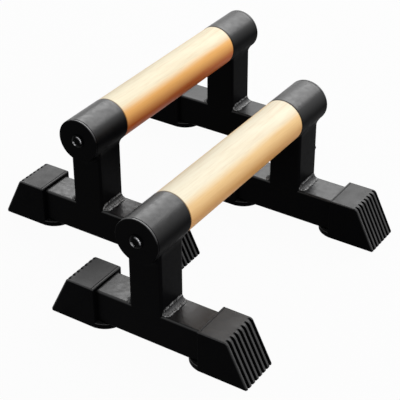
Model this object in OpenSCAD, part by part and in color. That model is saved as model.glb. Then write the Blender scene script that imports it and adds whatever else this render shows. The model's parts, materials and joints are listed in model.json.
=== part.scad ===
// A pair of low parallette bars: a beech grip bolted between two welded steel frames on ribbed rubber feet.
// Each bar runs along Y, its base tubes along X, and the floor is z = 0. The origin is the pair's middle.
// Front is the -Y end of a bar, rear the +Y end. Right is the bar on the +X side, left the other one.

/* [Grip] */
// Diameter of the turned beech grip
grip_d = 44.5; // [40:0.5:50]
// Length of the grip between its two collars
grip_l = 200; // [160:1:300]
// Height of the grip's axis above the floor
axis_h = 121.5; // [100:0.5:250]
// Chamfer where the grip's thick part meets the collars
grip_chamfer = 0.5; // [0.2:0.1:1]

/* [Collar] */
// Step from the grip up to the collar's outside
collar_proud = 0.25; // [0.1:0.05:1]
// Wall of the collar tube
collar_wall = 2.5; // [2:0.1:3.5]
// Length of the collar tube
collar_l = 51.5; // [48:0.5:60]
// Length of collar that stands out past the upright's outer face
collar_out = 10; // [6:0.5:11]
// Rounding of the collar's outer rim
rim_r = 1.6; // [0.5:0.1:1.8]
// Thickness of the disc that closes the collar's outer end
disc_t = 4; // [3:0.5:6]

/* [Steel frame] */
// Width of the square tubes along the grip
tube_w = 35; // [30:0.5:36]
// Width of the upright across the grip
upright_w = 35; // [28:0.5:38]
// Height of the base tube
base_h = 35; // [28:0.5:40]
// Wall of the square tubes
tube_wall = 2; // [1.5:0.1:2.3]
// Outer corner radius of the square tubes
tube_r = 2.5; // [2.4:0.1:4]

/* [Welds] */
// Leg of the fillet welds at the foot of the upright
base_weld = 6.5; // [4:0.5:8]
// Thickness at the toes of those welds
weld_toe = 0.5; // [0.3:0.1:1]
// How far the centre of the welds' hollow face lies past their legs
weld_hollow = 2; // [1:0.5:5]
// Radius of the ground blend between the upright and the collar
blend_r = 12; // [6:0.5:16]
// Leg of the seat welds where the collar stands out past the upright
seat_weld = 3.5; // [2:0.5:4.5]

/* [Rubber feet] */
// Length over the tips of the two feet of one frame
base_l = 217; // [200:1:300]
// Length of the flat top of a foot
foot_top = 31; // [22:0.5:34]
// How far a foot's outer face leans out from its top to its sole
foot_rake = 22; // [14:0.5:28]
// Rubber over the sides of the tube
boot_wall = 4.5; // [2.5:0.1:5]
// Rubber over the top of the tube
boot_lid = 3.5; // [2.5:0.1:5]
// Rubber between the end of the tube and the raked face, level with the top of the tube
boot_end = 5.8; // [5:0.1:9]
// Thickness of the sole
sole_t = 6; // [4:0.5:10]
// Rounding of the foot's outer top edge
brow_r = 5; // [2:0.5:7]
// Rounding of the foot's outer bottom edge
toe_r = 1.5; // [1:0.5:4]
// Rounding of the foot's vertical edges on the side of the upright
cuff_r = 2; // [1:0.5:5]
// Rounding of the lip where the foot's top meets the tube
lip_r = 1.5; // [0.5:0.1:2]
// How far inside the foot the tongue's round end has its centre
tongue_in = 3; // [0:0.5:6]
// Small rounding of the foot's other long edges
edge_r = 1.2; // [0.5:0.1:2]

/* [Ribs] */
// Number of grooves down the raked face
groove_n = 7; // [3:1:9]
// Width of a groove
groove_w = 2.6; // [1.5:0.1:3]
// Depth of a groove
groove_d = 2.5; // [1:0.1:3]
// Width of the ribs at the two edges
edge_rib = 2.2; // [1.8:0.1:4]

/* [Bolts] */
// Diameter of the bolt's shank
bolt_d = 8; // [6:1:10]
// Diameter of the bolt's domed head
head_d = 14; // [12:0.5:18]
// Height of the bolt's head
head_h = 4.4; // [3.6:0.1:6]
// Height of the straight edge under the head's dome
head_rim = 0.8; // [0.4:0.1:1.2]
// Size of the hexagon socket across its flats
socket_af = 5; // [4:0.5:6]
// Depth of the hexagon socket
socket_depth = 2.6; // [1:0.1:3.2]
// Length of the bolt under its head
bolt_l = 30; // [20:1:35]
// Gap round the shank in the disc
disc_clear = 0.25; // [0.1:0.05:0.5]
// Gap round the shank in the insert, left for the thread
thread_clear = 0.05; // [0.02:0.01:0.1]
// Outer diameter of the threaded insert
insert_d = 13; // [12:0.5:16]
// Length of the threaded insert
insert_l = 25; // [18:1:35]
// Depth of the hole left past the end of the bolt or the insert
hole_spare = 5; // [2:1:10]

/* [Pair] */
// Distance between the two grips
pair_gap = 147; // [130:1:600]
// How far the two bars are staggered along their grips
pair_stagger = 109.5; // [60:0.5:180]

/* [Hidden] */
$fn = 96;

BEECH = "burlywood";
BLACK_STEEL = "dimgray";
WELD = "gray";
RUBBER = "darkslategray";
ZINC = "silver";

// Places of the two bars and of a bar's two ends
RIGHT = [pair_gap / 2, -pair_stagger / 2, 0];
LEFT = [-pair_gap / 2, pair_stagger / 2, 0];
FRONT = -1;
REAR = 1;

// Grip and collar
collar_r = grip_d / 2 + collar_proud;
bore_r = collar_r - collar_wall;
collar_in = grip_l / 2;
collar_end = collar_in + collar_l;
tenon_end = collar_end - disc_t;

// Faces of the frame at the rear end of a bar
frame_out = collar_end - collar_out;
frame_in = frame_out - tube_w;
frame_mid = (frame_out + frame_in) / 2;
base_top = sole_t + base_h;

// Foot, measured from the middle of the frame
boot_h = base_top + boot_lid;
boot_w = tube_w + 2 * boot_wall;
toe_x = base_l / 2;
brow_x = toe_x - foot_rake;
cuff_x = brow_x - foot_top;
rake_a = atan(foot_rake / boot_h);
tube_end_x = toe_x - foot_rake * base_top / boot_h - boot_end;
groove_pitch = (boot_w - 2 * edge_rib - groove_w) / (groove_n - 1);

// Bolt, measured from the outer face of the disc
bolt_end = collar_end - bolt_l;
insert_end = tenon_end - insert_l;
hole_end = min(bolt_end, insert_end) - hole_spare;

// Large enough to reach past any piece
FAR = 200;
// How far a rounding's circle reaches past the edges it rounds, so that it crosses them cleanly
BITE = 0.01;

// Moves its children to one bar, and turns the rear end into the front end by a mirror
module at_end(bar, end) {
    translate(bar) mirror([0, end == FRONT ? 1 : 0, 0]) children();
}

// Turns a shape about Z so that its axis lies along Y, starting at y and running outwards
module along_grip(y) {
    translate([0, y, axis_h]) rotate([-90, 0, 0]) children();
}

// Draws a profile of X and Z and carries it along Y from y0 to y1
module across(y0, y1) {
    translate([0, y1, 0]) rotate([90, 0, 0]) linear_extrude(y1 - y0) children();
}

// What a corner loses when it is rounded: a square of side r less a quarter circle
module corner_cut(x, y, to_x, to_y, r) {
    translate([x, y]) mirror([to_x < 0 ? 1 : 0, 0]) mirror([0, to_y < 0 ? 1 : 0]) difference() {
        translate([-1, -1]) square(r + 1);
        translate([r, r]) circle(r);
    }
}

// Rectangle from [x0, y0] to [x1, y1] with radius r0 at the x0 corners and r1 at the x1 corners
module round_rect(x0, y0, x1, y1, r0, r1) {
    difference() {
        translate([x0, y0]) square([x1 - x0, y1 - y0]);
        corner_cut(x0, y0, 1, 1, r0);
        corner_cut(x0, y1, 1, -1, r0);
        corner_cut(x1, y0, -1, 1, r1);
        corner_cut(x1, y1, -1, -1, r1);
    }
}

// Section of a square tube with its long sides w and h, centred
module tube_section(w, h) {
    inner_r = max(tube_r - tube_wall, 0.2);
    x = w / 2;
    y = h / 2;
    difference() {
        round_rect(-x, -y, x, y, tube_r, tube_r);
        round_rect(tube_wall - x, tube_wall - y, x - tube_wall, y - tube_wall, inner_r, inner_r);
    }
}

// What a turned edge of radius r loses to its chamfer, for a piece that starts at y = 0 and runs along +Y
module edge_chamfer(r) {
    c = grip_chamfer;
    translate([r, 0]) polygon([[-c, -1], [1, -1], [1, c], [0, c], [-c, 0]]);
}

// Rounds the corner p of a profile between the directions of its two edges, u and v, with radius r
module round_off(p, u, v, r) {
    half = acos(u * v) / 2;
    reach = r / tan(half);
    middle = p + (u + v) / norm(u + v) * (r / sin(half) - BITE);
    difference() {
        polygon([p - (u + v), p + u * reach, middle, p + v * reach]);
        translate(middle) circle(r);
    }
}

// Beech grip with a turned tenon at each end that fills the collar up to its disc
module grip() {
    color(BEECH) difference() {
        union() {
            along_grip(-collar_in) cylinder(h = grip_l, r = grip_d / 2);
            along_grip(-tenon_end) cylinder(h = 2 * tenon_end, r = bore_r);
        }
        for (end = [FRONT, REAR]) mirror([0, end == FRONT ? 1 : 0, 0]) {
            along_grip(insert_end) cylinder(h = insert_l + 1, r = insert_d / 2);
            along_grip(hole_end) cylinder(h = tenon_end - hole_end, r = bolt_d / 2 + disc_clear);
            along_grip(collar_in) rotate_extrude() mirror([0, 1]) edge_chamfer(grip_d / 2);
        }
    }
}

// Threaded insert that sits in the grip's tenon behind the disc
module insert() {
    color(ZINC) along_grip(insert_end) difference() {
        cylinder(h = insert_l, r = insert_d / 2);
        translate([0, 0, -1]) cylinder(h = insert_l + 2, r = bolt_d / 2 + thread_clear);
    }
}

// Button-head bolt with a hexagon socket, its head on the disc
module bolt() {
    dome_h = head_h - head_rim;
    dome_r = (pow(head_d / 2, 2) + pow(dome_h, 2)) / (2 * dome_h);
    color(BLACK_STEEL) along_grip(collar_end) difference() {
        union() {
            intersection() {
                cylinder(h = head_h, r = head_d / 2);
                translate([0, 0, head_h - dome_r]) sphere(dome_r);
            }
            translate([0, 0, -bolt_l]) cylinder(h = bolt_l + 1, r = bolt_d / 2);
        }
        translate([0, 0, head_h - socket_depth]) cylinder(h = head_h, r = socket_af / 2 / cos(30), $fn = 6);
    }
}

// Disc that closes the collar, flush with its rim and drilled for the bolt
module disc() {
    color(BLACK_STEEL) along_grip(tenon_end) difference() {
        cylinder(h = disc_t, r = bore_r);
        translate([0, 0, -1]) cylinder(h = disc_t + 2, r = bolt_d / 2 + disc_clear);
    }
}

// Round collar tube with a rounded outer rim and a broken inner edge
module collar() {
    color(BLACK_STEEL) along_grip(collar_in) rotate_extrude() difference() {
        translate([bore_r, 0]) square([collar_wall, collar_l]);
        corner_cut(collar_r, collar_l, -1, -1, rim_r);
        edge_chamfer(collar_r);
    }
}

// Upright tube, coped to the collar's round underside
module upright() {
    color(BLACK_STEEL) difference() {
        translate([0, frame_mid, base_top]) linear_extrude(axis_h - base_top) tube_section(upright_w, tube_w);
        along_grip(frame_in - 1) cylinder(h = tube_w + 2, r = collar_r);
    }
}

// Ground blend in the corner between a side of the upright and the collar, as a profile of X and Z
module blend_profile() {
    $fn = 720;
    side = upright_w / 2;
    drop = sqrt(pow(collar_r + blend_r, 2) - pow(side + blend_r, 2));
    difference() {
        intersection() {
            polygon([[side, -drop], [side + blend_r, -drop], [0, 0]]);
            translate([side, -FAR]) square(2 * FAR);
        }
        circle(collar_r);
        translate([side + blend_r, -drop]) circle(blend_r);
    }
}

// Seat weld round the collar's underside on the inner face of the upright, as a ring about the collar's axis
module seat_ring() {
    $fn = 360;
    rotate_extrude() difference() {
        translate([collar_r, 0]) square(seat_weld);
        translate([collar_r + seat_weld, seat_weld]) circle(seat_weld);
    }
}

// Weld metal between the upright and the collar: a blend on each side, and a seat weld on each other face
module blend() {
    half = upright_w / 2 - tube_r;
    color(BLACK_STEEL) {
        for (side = [0, 1]) mirror([side, 0, 0])
            translate([0, 0, axis_h]) across(frame_in + tube_r, frame_out - tube_r) blend_profile();
        intersection() {
            union() {
                along_grip(frame_out) seat_ring();
                along_grip(frame_in) mirror([0, 0, 1]) seat_ring();
            }
            translate([-half, 0, base_top]) cube([2 * half, FAR, axis_h - base_top]);
        }
    }
}

// Hollow-faced fillet weld in the corner between the upright and the base tube, as a profile of X and Z
module weld_profile() {
    middle = base_weld + weld_hollow;
    difference() {
        polygon([[0, 0], [base_weld, 0], [base_weld, weld_toe], [weld_toe, base_weld], [0, base_weld]]);
        translate([middle, middle]) circle(norm([weld_hollow, middle - weld_toe]));
    }
}

// Fillet welds at the foot of the upright, one on each side of it, with rounded ends
module weld() {
    $fn = 360;
    color(WELD) for (side = [0, 1]) mirror([side, 0, 0])
        translate([upright_w / 2, 0, base_top]) intersection() {
            across(frame_in, frame_out) weld_profile();
            linear_extrude(base_weld)
                round_rect(0, frame_in + tube_r, base_weld, frame_out - tube_r, weld_toe, base_weld / 2);
        }
}

// Base tube, open at both ends inside the feet
module base() {
    color(BLACK_STEEL) translate([-tube_end_x, frame_mid, sole_t + base_h / 2])
        rotate([0, 90, 0]) linear_extrude(2 * tube_end_x) tube_section(base_h, tube_w);
}

// Side view of a foot: upright cuff, flat top, raked outer face and flat sole
module foot_profile() {
    down_rake = [sin(rake_a), -cos(rake_a)];
    difference() {
        polygon([[cuff_x, 0], [toe_x, 0], [brow_x, boot_h], [cuff_x, boot_h]]);
        round_off([cuff_x, boot_h], [1, 0], [0, -1], lip_r);
        round_off([brow_x, boot_h], [-1, 0], down_rake, brow_r);
        round_off([toe_x, 0], [-1, 0], -down_rake, toe_r);
    }
}

// Rubber boot on the +X end of a base tube, with a half-round tongue under the tube and a ribbed raked face
module foot() {
    color(RUBBER) translate([0, frame_mid, 0]) difference() {
        union() {
            intersection() {
                across(-boot_w / 2, boot_w / 2) foot_profile();
                linear_extrude(FAR) round_rect(cuff_x, -boot_w / 2, toe_x + 1, boot_w / 2, cuff_r, edge_r);
                rotate([90, 0, 90]) linear_extrude(FAR)
                    round_rect(-boot_w / 2, -boot_h, boot_w / 2, boot_h, edge_r, edge_r);
            }
            intersection() {
                translate([cuff_x + tongue_in, 0, 0]) cylinder(h = sole_t, r = boot_w / 2);
                translate([cuff_x - boot_w, -boot_w / 2, 0]) cube([boot_w + cuff_r, boot_w, sole_t]);
            }
        }
        rotate([90, 0, 90]) linear_extrude(tube_end_x)
            round_rect(-tube_w / 2, sole_t, tube_w / 2, base_top, tube_r, tube_r);
        for (i = [0 : groove_n - 1])
            translate([toe_x, (i - (groove_n - 1) / 2) * groove_pitch, 0]) rotate([0, -rake_a, 0])
                translate([-groove_d, -groove_w / 2, -FAR / 2]) cube([FAR, groove_w, FAR]);
    }
}

// One foot of the base tube, the one on its +X or its -X end
module foot_at(bar, end, to_x) {
    at_end(bar, end) mirror([to_x < 0 ? 1 : 0, 0, 0]) foot();
}

translate(RIGHT) grip();  // right_grip
at_end(RIGHT, FRONT) bolt();  // right_front_bolt
at_end(RIGHT, FRONT) insert();  // right_front_insert
at_end(RIGHT, FRONT) disc();  // right_front_disc
at_end(RIGHT, FRONT) collar();  // right_front_collar
at_end(RIGHT, FRONT) blend();  // right_front_blend
at_end(RIGHT, FRONT) upright();  // right_front_upright
at_end(RIGHT, FRONT) weld();  // right_front_weld
at_end(RIGHT, FRONT) base();  // right_front_base
foot_at(RIGHT, FRONT, -1);  // right_front_foot_left
foot_at(RIGHT, FRONT, 1);  // right_front_foot_right
at_end(RIGHT, REAR) bolt();  // right_rear_bolt
at_end(RIGHT, REAR) insert();  // right_rear_insert
at_end(RIGHT, REAR) disc();  // right_rear_disc
at_end(RIGHT, REAR) collar();  // right_rear_collar
at_end(RIGHT, REAR) blend();  // right_rear_blend
at_end(RIGHT, REAR) upright();  // right_rear_upright
at_end(RIGHT, REAR) weld();  // right_rear_weld
at_end(RIGHT, REAR) base();  // right_rear_base
foot_at(RIGHT, REAR, -1);  // right_rear_foot_left
foot_at(RIGHT, REAR, 1);  // right_rear_foot_right
translate(LEFT) grip();  // left_grip
at_end(LEFT, FRONT) bolt();  // left_front_bolt
at_end(LEFT, FRONT) insert();  // left_front_insert
at_end(LEFT, FRONT) disc();  // left_front_disc
at_end(LEFT, FRONT) collar();  // left_front_collar
at_end(LEFT, FRONT) blend();  // left_front_blend
at_end(LEFT, FRONT) upright();  // left_front_upright
at_end(LEFT, FRONT) weld();  // left_front_weld
at_end(LEFT, FRONT) base();  // left_front_base
foot_at(LEFT, FRONT, -1);  // left_front_foot_left
foot_at(LEFT, FRONT, 1);  // left_front_foot_right
at_end(LEFT, REAR) bolt();  // left_rear_bolt
at_end(LEFT, REAR) insert();  // left_rear_insert
at_end(LEFT, REAR) disc();  // left_rear_disc
at_end(LEFT, REAR) collar();  // left_rear_collar
at_end(LEFT, REAR) blend();  // left_rear_blend
at_end(LEFT, REAR) upright();  // left_rear_upright
at_end(LEFT, REAR) weld();  // left_rear_weld
at_end(LEFT, REAR) base();  // left_rear_base
foot_at(LEFT, REAR, -1);  // left_rear_foot_left
foot_at(LEFT, REAR, 1);  // left_rear_foot_right
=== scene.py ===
"""Dresses a pair of parallette bars: beech grips bolted into black powder-coated steel frames on rubber
feet."""

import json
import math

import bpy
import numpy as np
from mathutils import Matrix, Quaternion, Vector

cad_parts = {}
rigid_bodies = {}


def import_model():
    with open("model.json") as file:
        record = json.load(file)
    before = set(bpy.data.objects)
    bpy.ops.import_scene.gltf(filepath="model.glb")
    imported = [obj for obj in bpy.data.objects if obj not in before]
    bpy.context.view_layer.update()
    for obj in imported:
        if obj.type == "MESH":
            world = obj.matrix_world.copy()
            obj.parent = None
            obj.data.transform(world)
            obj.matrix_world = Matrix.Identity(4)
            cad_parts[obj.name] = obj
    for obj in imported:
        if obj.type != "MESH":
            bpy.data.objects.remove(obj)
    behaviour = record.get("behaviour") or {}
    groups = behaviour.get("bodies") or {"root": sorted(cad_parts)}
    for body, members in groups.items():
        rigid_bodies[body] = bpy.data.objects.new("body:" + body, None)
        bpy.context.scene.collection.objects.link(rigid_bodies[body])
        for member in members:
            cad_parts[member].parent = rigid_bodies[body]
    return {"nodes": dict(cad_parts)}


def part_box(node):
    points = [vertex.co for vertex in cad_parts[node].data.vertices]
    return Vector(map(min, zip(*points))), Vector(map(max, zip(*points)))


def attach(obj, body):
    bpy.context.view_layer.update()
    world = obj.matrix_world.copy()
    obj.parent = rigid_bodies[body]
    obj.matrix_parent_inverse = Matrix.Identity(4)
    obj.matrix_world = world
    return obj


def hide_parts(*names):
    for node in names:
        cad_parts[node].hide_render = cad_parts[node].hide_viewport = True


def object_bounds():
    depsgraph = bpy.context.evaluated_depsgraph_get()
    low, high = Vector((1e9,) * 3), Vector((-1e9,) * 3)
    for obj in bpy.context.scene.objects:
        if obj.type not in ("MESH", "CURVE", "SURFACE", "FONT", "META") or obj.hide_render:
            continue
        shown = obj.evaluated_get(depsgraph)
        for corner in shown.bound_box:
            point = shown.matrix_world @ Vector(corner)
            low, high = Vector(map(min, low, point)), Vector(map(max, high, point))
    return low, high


bl_info = {
    "name": "Parallette Bars",
    "version": (1, 0, 0),
    "blender": (4, 5, 0),
    "location": "View3D > Sidebar > Parallettes",
    "description": "Gives a pair of parallette bars its surfaces, finishes, studio light and camera",
    "category": "Object",
}

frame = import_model()
CAD_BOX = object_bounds()

SIDES = ("right", "left")
ENDS = (("rear", 1), ("front", -1))

# Sizes that every bar has, taken from the right bar's rear end
GRIP_LOW, GRIP_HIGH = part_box("right_grip")
BASE_LOW, BASE_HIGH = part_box("right_rear_base")
UPRIGHT_LOW, UPRIGHT_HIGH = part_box("right_rear_upright")
BOLT_LOW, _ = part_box("right_rear_bolt")
COLLAR_LOW, COLLAR_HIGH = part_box("right_rear_collar")
DISC_LOW, DISC_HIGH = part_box("right_rear_disc")
FOOT_LOW, FOOT_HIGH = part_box("right_rear_foot_right")
BAR_MIDDLE = (GRIP_LOW + GRIP_HIGH) / 2
AXIS_HEIGHT = BAR_MIDDLE.z
FRAME_MIDDLE = (BASE_LOW.y + BASE_HIGH.y) / 2 - BAR_MIDDLE.y
TUBE_WIDTH = BASE_HIGH.y - BASE_LOW.y
UPRIGHT_HALF = (UPRIGHT_HIGH.x - UPRIGHT_LOW.x) / 2
BASE_TOP = BASE_HIGH.z
SOLE = BASE_LOW.z
TUBE_END = BASE_HIGH.x - BAR_MIDDLE.x
FOOT_HEIGHT = FOOT_HIGH.z
FOOT_HALF = (FOOT_HIGH.y - FOOT_LOW.y) / 2
TONGUE_TIP = FOOT_LOW.x - BAR_MIDDLE.x
COLLAR_END = COLLAR_HIGH.y - BAR_MIDDLE.y
COLLAR_RADIUS = (COLLAR_HIGH.x - COLLAR_LOW.x) / 2
PLUG_RADIUS = (DISC_HIGH.x - DISC_LOW.x) / 2
# Outer corner radius of the square tubes
TUBE_CORNER = 0.0025
# What is left free between two faces that would otherwise lie in the same place
HAIR = 0.00002

# Angles at which turned pieces have points, from the top towards +X
TURN = np.linspace(0, math.tau, 144, endpoint=False)[:, None]
# Edges that turn by more than this are shaded sharp
SHARP_EDGE = math.radians(40)
# How far from straight up, towards +X, the palest line of the grips' painted highlight lies, in degrees
HIGHLIGHT_LEAN = 7
# The side towards which the painted highlights on the discs and the painted glints on the bolts lie, as an
# angle from the top towards +X
GLINT_SIDE = math.radians(45)
# The attribute that says where a piece carries painted highlights and glints, and on the welds also wear
RUBBED_AND_HIGHLIT = "rubbed_and_highlit"
# Where gloss starts to rise and where it is full, as the upward part of the way that a face looks
COAT_FACING = (0.05, 0.85)
RUBBER_FACING = (-0.1, 0.45)

# Settings of nodes that ease a value in and out and that mix colours, and the places of that node's sockets
EASED = {"interpolation_type": "SMOOTHSTEP"}
COLOURS = {"data_type": "RGBA"}
MIX_AMOUNT, MIX_FIRST, MIX_SECOND, MIX_RESULT = 0, 6, 7, 2


def linear(hex_value):
    """The linear colour, with full alpha, of an sRGB hex colour."""
    srgb = np.array([int(hex_value[i : i + 2], 16) for i in (1, 3, 5)]) / 255
    low, high = srgb / 12.92, ((srgb + 0.055) / 1.055) ** 2.4
    return (*np.where(srgb <= 0.04045, low, high), 1.0)


def length(name, description, millimetres):
    """A size that a user can change, shown in the scene's own unit of length."""
    return bpy.props.FloatProperty(
        name=name, description=description, default=millimetres / 1000, min=0, unit="LENGTH", precision=4
    )


def colour(name, description, value):
    """A colour that a user can change, from its sRGB hex value."""
    return bpy.props.FloatVectorProperty(
        name=name, description=description, default=linear(value), size=4, min=0, max=1, subtype="COLOR"
    )


def share(name, description, value):
    """A number from 0 to 1 that a user can change."""
    return bpy.props.FloatProperty(
        name=name, description=description, default=value, min=0, max=1, subtype="FACTOR"
    )


def ratio(name, description, value):
    """An index of refraction that a user can change."""
    return bpy.props.FloatProperty(name=name, description=description, default=value, min=1, max=3)


def strength(name, description, value):
    """A brightness that a user can change."""
    return bpy.props.FloatProperty(name=name, description=description, default=value, min=0)


class GripSettings(bpy.types.PropertyGroup):
    """Finish of the two wooden grips."""

    # The pale and deep colours are a painted highlight on the grips' upper faces and a painted shade on their
    # lower faces; the mid colours are the beech's own
    pale_right: colour("Right Highlight", "Colour of the right grip's upper face", "#f4ebd2")
    mid_right: colour("Right Beech", "Colour of the right grip's side", "#efca92")
    deep_right: colour("Right Shade", "Colour of the right grip's lower face", "#c99457")
    pale_left: colour("Left Highlight", "Colour of the left grip's upper face", "#f4eace")
    mid_left: colour("Left Beech", "Colour of the left grip's side", "#f3b86c")
    deep_left: colour("Left Shade", "Colour of the left grip's lower face", "#aa4c06")
    streak_colour: colour("Streaks", "Colour of the darker streaks along the grain", "#c08a4c")
    # A painted shade line where the grips meet the collars
    joint_shade_colour: colour("Joint_Shade", "Colour of the lines where the grips meet the collars", "#6a4420")
    roughness: share("Roughness", "Roughness of the satin oil", 0.5)


class SteelSettings(bpy.types.PropertyGroup):
    """Finish of the steel frames, their welds and their bolts."""

    coat_colour: colour("Powder Coat", "Colour of the black powder coat", "#080809")
    # This coat colour is a painted highlight on the discs' rims
    coat_highlight_colour: colour("Highlit Coat", "Colour of the coat on rubbed edges", "#565657")
    coat_roughness: share("Coat Roughness", "Roughness of the powder coat", 0.36)
    coat_gloss: ratio("Coat Gloss", "Index of refraction of the coat on faces that look up", 1.5)
    coat_dryness: ratio("Dry Coat", "Index of refraction of the coat on upright faces", 1.058)
    weld_colour: colour("Weld", "Colour of the coat where it lies thin over the weld beads", "#1e1e1f")
    # This weld colour is painted highlight as well as wear along the weld's toes and ends
    weld_highlight_and_wear_colour: colour("Highlit_And_Worn Weld", "Colour of the weld where the coat is rubbed through", "#909090")
    bolt_colour: colour("Blackened Steel", "Colour of the blackened bolts", "#050506")
    # This steel colour is put where glints are painted on the bolts
    glint_steel_colour: colour("Glint Steel", "Colour of the bolts where their black is worn through", "#cfcfd2")
    zinc_colour: colour("Zinc", "Colour of the zinc-plated inserts", "#b9bdc2")


class WeldSettings(bpy.types.PropertyGroup):
    """Shape of the weld beads at the foot of each upright."""

    leg: length("Leg", "Leg of the fillet weld", 6.5)
    toe: length("Toe", "Thickness of the weld at its toes", 0.5)
    edge: length("Edge", "Height of the swelling along the two toes", 0.22)
    ripple: length("Ripple", "Height of the ripples", 0.12)
    pitch: length("Ripple Pitch", "Distance between two ripples", 2.2)


class UprightSettings(bpy.types.PropertyGroup):
    """Shape of the flare of the uprights into the collars."""

    flare: length("Flare Height", "How far below the collar the flare starts", 8.7)
    side_reach: length("Side Reach", "How far the flare spreads at the two sides", 2.2)
    outer_reach: length("Outer Reach", "How far the flare spreads under the collar's outer end", 8)
    inner_reach: length("Inner Reach", "How far the flare spreads under the collar's inner end", 5)


class CollarSettings(bpy.types.PropertyGroup):
    """Shape of the collars' ends and of the discs that close them."""

    edge: length("Edge", "Rounding of the collar's outer edge", 0.35)
    gap: length("Gap", "Width of the groove between the collar and the disc's rim", 0.6)
    gap_depth: length("Gap Depth", "Depth of that groove", 1)
    rim: length("Rim", "How far the disc stands out of the collar", 2.2)
    rim_edge: length("Rim Edge", "Rounding of the rim's outer edge", 0.3)
    hole: length("Hole", "Hole for the bolt in the disc", 8.5)
    chamfer: length("Chamfer", "Chamfer of the collar's inner end", 0.5)


class FootSettings(bpy.types.PropertyGroup):
    """Shape and finish of the moulded rubber feet."""

    base_length: length("Base Length", "Length over the tips of the two feet of one frame", 217)
    flat_top: length("Flat Top", "Length of the flat top of a foot", 31)
    rake: length("Rake", "How far the outer face leans out from the top to the sole", 22)
    brow: length("Brow", "Rounding of the outer top edge", 5)
    toe: length("Toe", "Rounding of the outer bottom edge", 2)
    tip_corner: length("Tip Corner", "Rounding of the two raked edges of the outer face", 2.4)
    cuff: length("Cuff", "Rounding of the upright edges towards the tube", 0.8)
    tongue_depth: length("Tongue Depth", "How far inside the foot the tongue's round end has its middle", 3)
    lip: length("Lip", "Rounding of the edge where the top meets the tube", 1.5)
    edge: length("Edge", "Rounding of the other long edges", 1.2)
    slack: length("Slack", "How much less far the right feet of the front frames are pushed on", 1.8)
    score: length("Score", "Width of the fine line scored across the top behind the lip", 0.9)
    score_from_lip: length("Score Place", "Distance of that line from the lip", 2.4)
    groove_width: length("Groove Width", "Width of a groove in the outer face", 2.9)
    groove_depth: length("Groove Depth", "Depth of a groove in the outer face", 3.3)
    edge_rib: length("Edge Rib", "Width of the ribs at the two sides", 2.2)
    groove_count: bpy.props.IntProperty(
        name="Grooves", description="Number of grooves in the outer face", default=7, min=2, max=9
    )
    rubber_colour: colour("Rubber", "Colour of the black rubber", "#060607")
    roughness: share("Roughness", "Roughness of the moulded rubber", 0.5)
    gloss: ratio("Gloss", "Index of refraction of the rubber on faces that look up", 1.5)
    dullness: ratio("Dullness", "Index of refraction of the rubber on upright faces", 1.015)


class BoltSettings(bpy.types.PropertyGroup):
    """Shape of the button-head bolts."""

    head: length("Head", "Diameter of the domed head", 14)
    head_height: length("Head Height", "Height of the head", 4.4)
    rim: length("Rim", "Height of the straight edge under the dome", 0.8)
    socket: length("Socket", "Size of the hexagon socket across its flats", 5)
    socket_depth: length("Socket Depth", "Depth of the hexagon socket", 2.6)
    shank: length("Shank", "Diameter of the shank", 8)


class StageSettings(bpy.types.PropertyGroup):
    """Floor and studio light."""

    floor_colour: colour("Floor", "Colour of the floor", "#acacac")
    floor_glow: share("Floor Glow", "Share of plain white in the floor as the camera sees it", 0.96)
    room_light: strength("Room Light", "Strength of the even light from all round", 0.3)
    key_radiance: strength("Key Light", "Brightness of the long soft light behind the bars", 5.0)
    fill_radiance: strength("Fill Light", "Brightness of the soft light over the right side", 2.2)
    kicker_radiance: strength("Kicker Light", "Brightness of the small light beside the camera", 2.5)
    side_radiance: strength("Side Light", "Brightness of the low soft light at the right side", 3.5)


def skin(rings):
    """Points and faces of a closed surface: four-sided faces between neighbouring rings, each of which closes
    on itself, and one face over the first and the last ring. Rings that turn anticlockwise about the way they
    follow each other give faces that point outwards."""
    count, around = rings.shape[:2]
    index = np.arange(count * around).reshape(count, around)
    ahead = np.roll(index, -1, axis=1)
    quads = np.stack([index[:-1], ahead[:-1], ahead[1:], index[1:]], axis=-1).reshape(-1, 4)
    return rings.reshape(-1, 3), [*quads.tolist(), index[0, ::-1].tolist(), index[-1].tolist()]


def set_rubbed_and_highlit(mesh, amounts):
    """Stores how much painted highlight and glint, and on the welds also wear, the surface has at each point
    of a mesh, from 0 to 1.
    """
    mesh.attributes.new(RUBBED_AND_HIGHLIT, "FLOAT", "POINT").data.foreach_set("value", amounts)


def bump(values, middle, width):
    """A smooth hill of height 1 over the values near middle: e to the power of minus the squared distance,
    which is counted in widths."""
    return np.exp(-(((values - middle) / width) ** 2))


def mesh_of(name, *shells):
    """One mesh from closed surfaces, each a pair of points and faces."""
    starts = np.cumsum([0] + [len(points) for points, _ in shells])
    points = np.concatenate([points for points, _ in shells])
    faces = [[i + int(start) for i in face] for start, (_, faces) in zip(starts, shells) for face in faces]
    mesh = bpy.data.meshes.new(name)
    mesh.from_pydata(points, [], faces)
    mesh.update()
    return mesh


def placed(mesh, place):
    """A copy of a mesh moved by a matrix, with its faces turned back out if the matrix mirrors it."""
    copy = mesh.copy()
    copy.transform(place)
    if place.determinant() < 0:
        copy.flip_normals()
    return copy


def piece(name, mesh, material, body, slot, *replaced):
    """Adds a piece of the object that rides on a body and stands for CAD nodes, with even shading on its
    flats."""
    made = bpy.data.objects.new(name, mesh)
    bpy.context.scene.collection.objects.link(made)
    mesh.name = name
    mesh.shade_smooth()
    mesh.set_sharp_from_angle(angle=SHARP_EDGE)
    mesh.materials.clear()
    mesh.materials.append(material)
    evened = made.modifiers.new("even_flats", "WEIGHTED_NORMAL")
    evened.keep_sharp = True
    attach(made, body)
    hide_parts(*replaced)


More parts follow.
